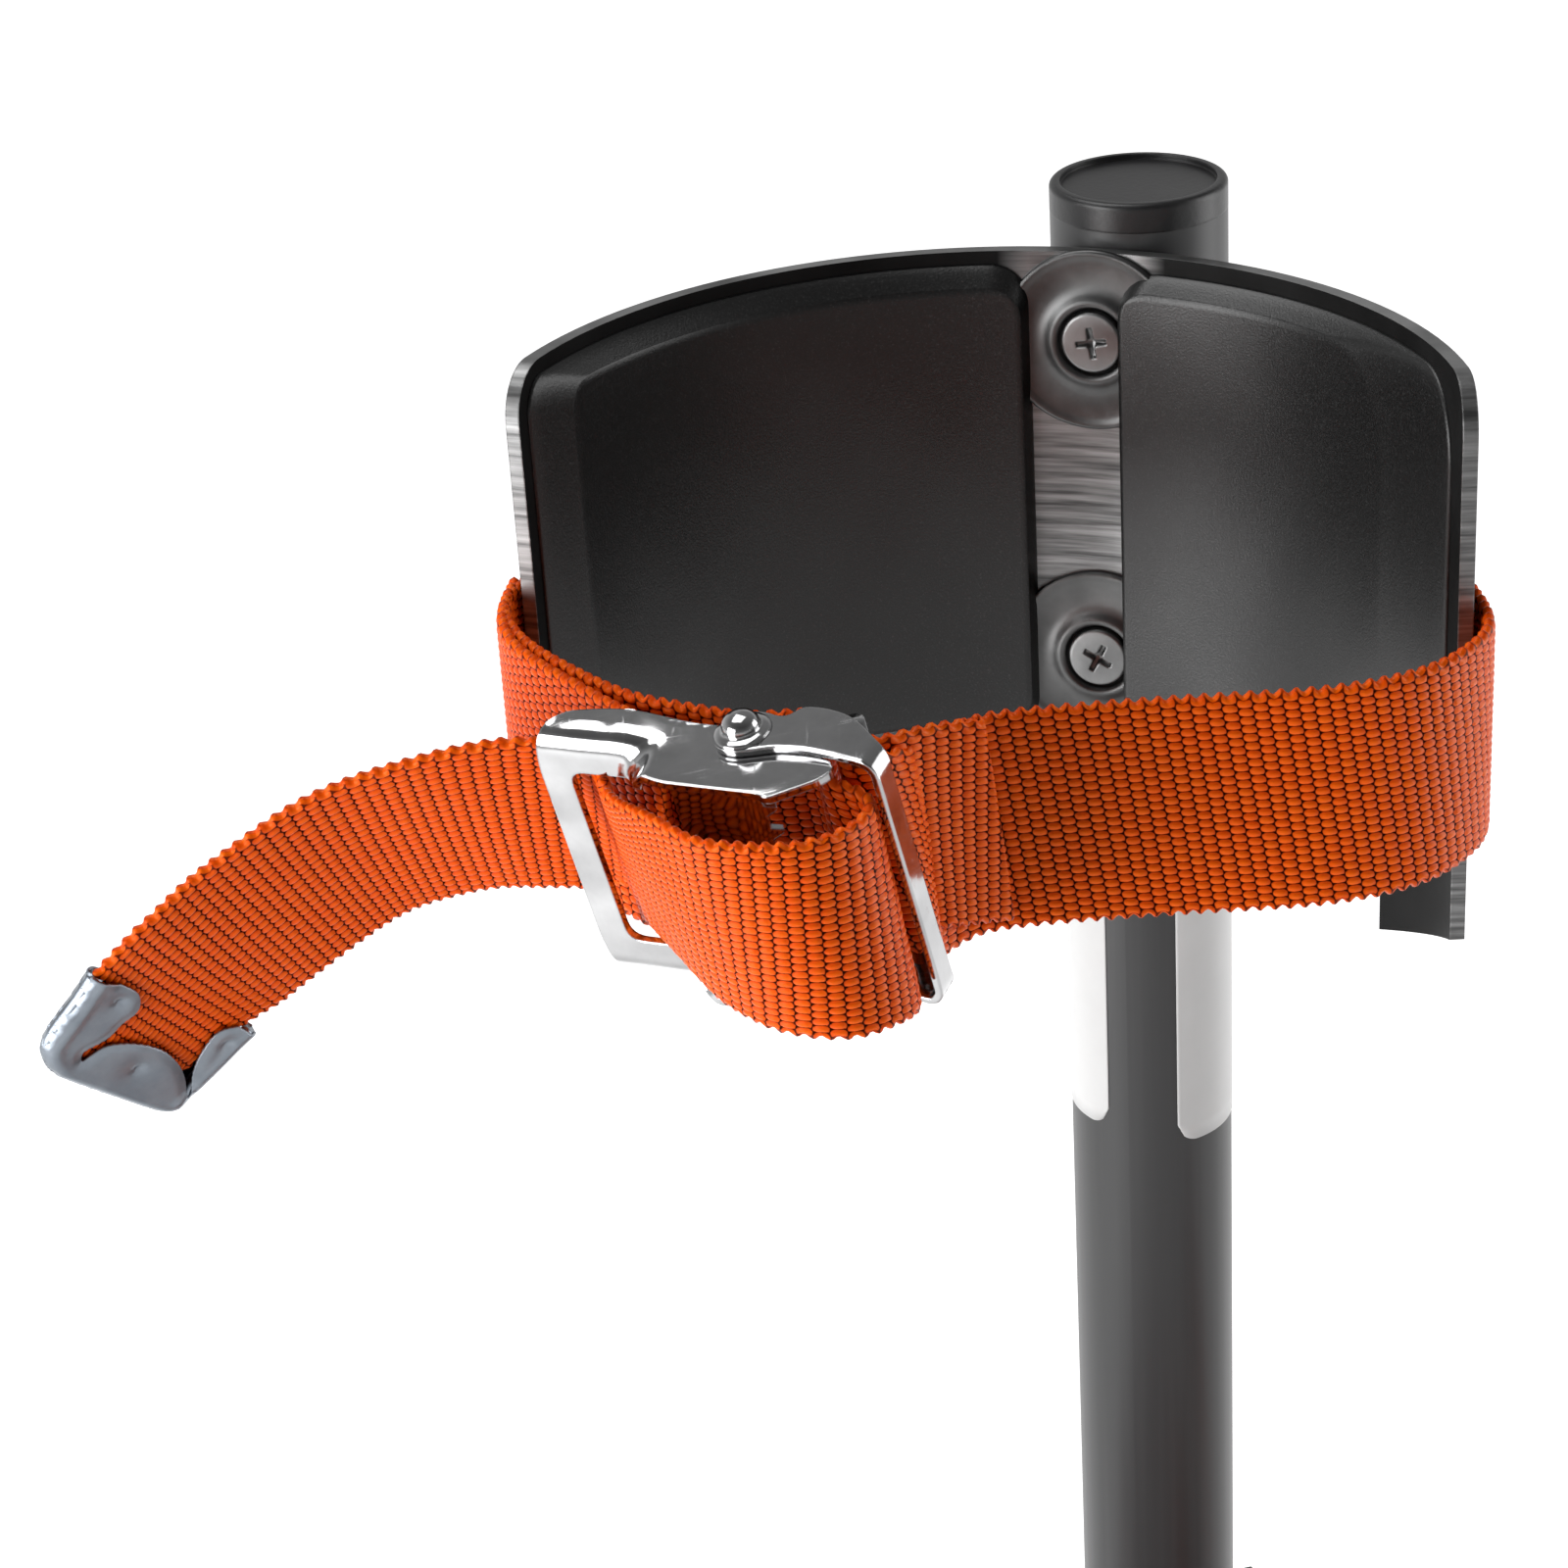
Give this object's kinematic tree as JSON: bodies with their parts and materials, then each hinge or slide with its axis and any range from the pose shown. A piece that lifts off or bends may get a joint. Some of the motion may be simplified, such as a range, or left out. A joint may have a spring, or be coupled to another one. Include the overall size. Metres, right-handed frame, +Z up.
{
  "type": "drywall stilt",
  "caption": "Drywall stilt: ribbed sole, sprung telescoping struts, foot plate with heel cup, side leg tube, padded calf band and orange webbing straps with cam buckles.",
  "frame": {"origin": "centre of the sole's underside", "axes": "+X to the toe, +Y to the outer side of the left leg, +Z up along the struts"},
  "size_m": [0.371, 0.208, 1.01],
  "materials": {
    "sole_rubber": "matte ribbed rubber",
    "plate_aluminium": "satin rolled",
    "strut_aluminium": "satin drawn tube",
    "extension_aluminium": "bright drawn tube",
    "zinc_steel": "zinc plated",
    "spring_steel": "oiled spring wire",
    "leg_tube_grey": "satin dark grey",
    "band_plate": "satin black with bare cut edges",
    "black_plastic": "moulded, fine grain",
    "foam_pad": "closed-cell foam, cloth faced",
    "orange_webbing": "coarse flat weave",
    "strap_tip": "folded zinc plated sheet"
  },
  "bodies": {
    "base": {"rubber_sole": "sole_rubber", "floor_plate": "plate_aluminium", "base_brackets": "plate_aluminium", "base_rivets": "zinc_steel", "base_pivot_bolts": "zinc_steel", "base_pivot_nuts": "zinc_steel", "spring_bracket": "zinc_steel", "front_spring": "spring_steel", "rear_spring": "spring_steel"},
    "foot": {"foot_plate": "plate_aluminium", "foot_brackets": "plate_aluminium", "foot_rivets": "zinc_steel", "foot_pivot_bolts": "zinc_steel", "foot_pivot_nuts": "zinc_steel", "heel_cup": "plate_aluminium", "side_bracket": "plate_aluminium", "side_bolts": "zinc_steel", "pole_clamp": "plate_aluminium", "pole_clamp_bolt": "zinc_steel", "toe_strap": "orange_webbing", "ankle_strap": "orange_webbing", "strap_clips": "zinc_steel", "toe_buckle_link": "zinc_steel", "ankle_buckle_link": "zinc_steel", "foot_buckle_rivets": "zinc_steel"},
    "sleeve": {"pole_sleeve": "black_plastic"},
    "leg_pole": {"leg_tube": "leg_tube_grey", "tube_cap": "black_plastic", "calf_plate": "band_plate", "front_pad": "foam_pad", "rear_pad": "foam_pad", "dish_washers": "zinc_steel", "band_screws": "zinc_steel", "band_inserts": "zinc_steel", "calf_strap": "orange_webbing", "calf_strap_tail": "orange_webbing", "calf_strap_tip": "strap_tip", "calf_buckle_link": "zinc_steel", "calf_buckle_rivets": "zinc_steel"},
    "calf_lever": {"calf_buckle_lever": "zinc_steel"},
    "toe_lever": {"toe_buckle_lever": "zinc_steel"},
    "ankle_lever": {"ankle_buckle_lever": "zinc_steel"},
    "pole_nut": {"pole_wing_nut": "zinc_steel"},
    "front_strut": {"front_strut_foot": "plate_aluminium", "front_lower_tube": "strut_aluminium", "front_spring_collar": "zinc_steel", "front_height_clamp": "black_plastic", "front_clamp_bolt": "zinc_steel"},
    "front_extension": {"front_upper_tube": "extension_aluminium", "front_strut_head": "plate_aluminium"},
    "front_nut": {"front_wing_nut": "zinc_steel"},
    "rear_strut": {"rear_strut_foot": "plate_aluminium", "rear_lower_tube": "strut_aluminium", "rear_spring_collar": "zinc_steel", "rear_height_clamp": "black_plastic", "rear_clamp_bolt": "zinc_steel"},
    "rear_extension": {"rear_upper_tube": "extension_aluminium", "rear_strut_head": "plate_aluminium"},
    "rear_nut": {"rear_wing_nut": "zinc_steel"}
  },
  "joints": [
    {"name": "strut_sway", "type": "hinge", "parent": "base", "child": "front_strut", "pos_m": [0.105, 0, 0.048], "axis": [0, 1, 0], "range_deg": [-12, 12], "stiffness_Nm_per_rad": 250, "deforming": ["front_spring"]},
    {"name": "rear_sway", "type": "hinge", "parent": "base", "child": "rear_strut", "pos_m": [-0.105, 0, 0.048], "axis": [0, 1, 0], "range_deg": [-12, 12], "deforming": ["rear_spring"]},
    {"name": "front_height", "type": "slide", "parent": "front_strut", "child": "front_extension", "axis": [0, 0, 1], "range_m": [0, 0.406]},
    {"name": "rear_height", "type": "slide", "parent": "rear_strut", "child": "rear_extension", "axis": [0, 0, 1], "range_m": [0, 0.406]},
    {"name": "foot_level", "type": "hinge", "parent": "front_extension", "child": "foot", "pos_m": [0.105, 0, 0.584], "axis": [0, 1, 0], "range_deg": [-12, 12]},
    {"name": "pole_swivel", "type": "hinge", "parent": "foot", "child": "sleeve", "pos_m": [-0.025, 0.09, 0.652], "axis": [0, 0, 1], "range_deg": [-15, 15]},
    {"name": "pole_height", "type": "slide", "parent": "sleeve", "child": "leg_pole", "axis": [0, 0, 1], "range_m": [-0.08, 0.1]},
    {"name": "calf_release", "type": "hinge", "parent": "leg_pole", "child": "calf_lever", "pos_m": [-0.09198, -0.04038, 0.94653], "axis": [-0.19, -0.185, 0.9642], "range_deg": [0, 20]},
    {"name": "toe_release", "type": "hinge", "parent": "foot", "child": "toe_lever", "pos_m": [0.081, -0.021, 0.69564], "axis": [-1, 0, 0], "range_deg": [0, 20]},
    {"name": "ankle_release", "type": "hinge", "parent": "foot", "child": "ankle_lever", "pos_m": [-0.02287, -0.05976, 0.659], "axis": [0, 0, 1], "range_deg": [0, 20]},
    {"name": "front_nut_turn", "type": "hinge", "parent": "front_strut", "child": "front_nut", "pos_m": [0.143, -0.012, 0.533], "axis": [0, 1, 0], "continuous": true},
    {"name": "rear_nut_turn", "type": "hinge", "parent": "rear_strut", "child": "rear_nut", "pos_m": [-0.143, -0.012, 0.533], "axis": [0, 1, 0], "continuous": true},
    {"name": "pole_nut_turn", "type": "hinge", "parent": "foot", "child": "pole_nut", "pos_m": [-0.012, 0.127, 0.652], "axis": [1, 0, 0], "continuous": true}
  ],
  "couplings": [
    {"joint": "rear_sway", "follows": "strut_sway", "ratio": 1},
    {"joint": "foot_level", "follows": "strut_sway", "ratio": -1},
    {"joint": "rear_height", "follows": "front_height", "ratio": 1}
  ]
}
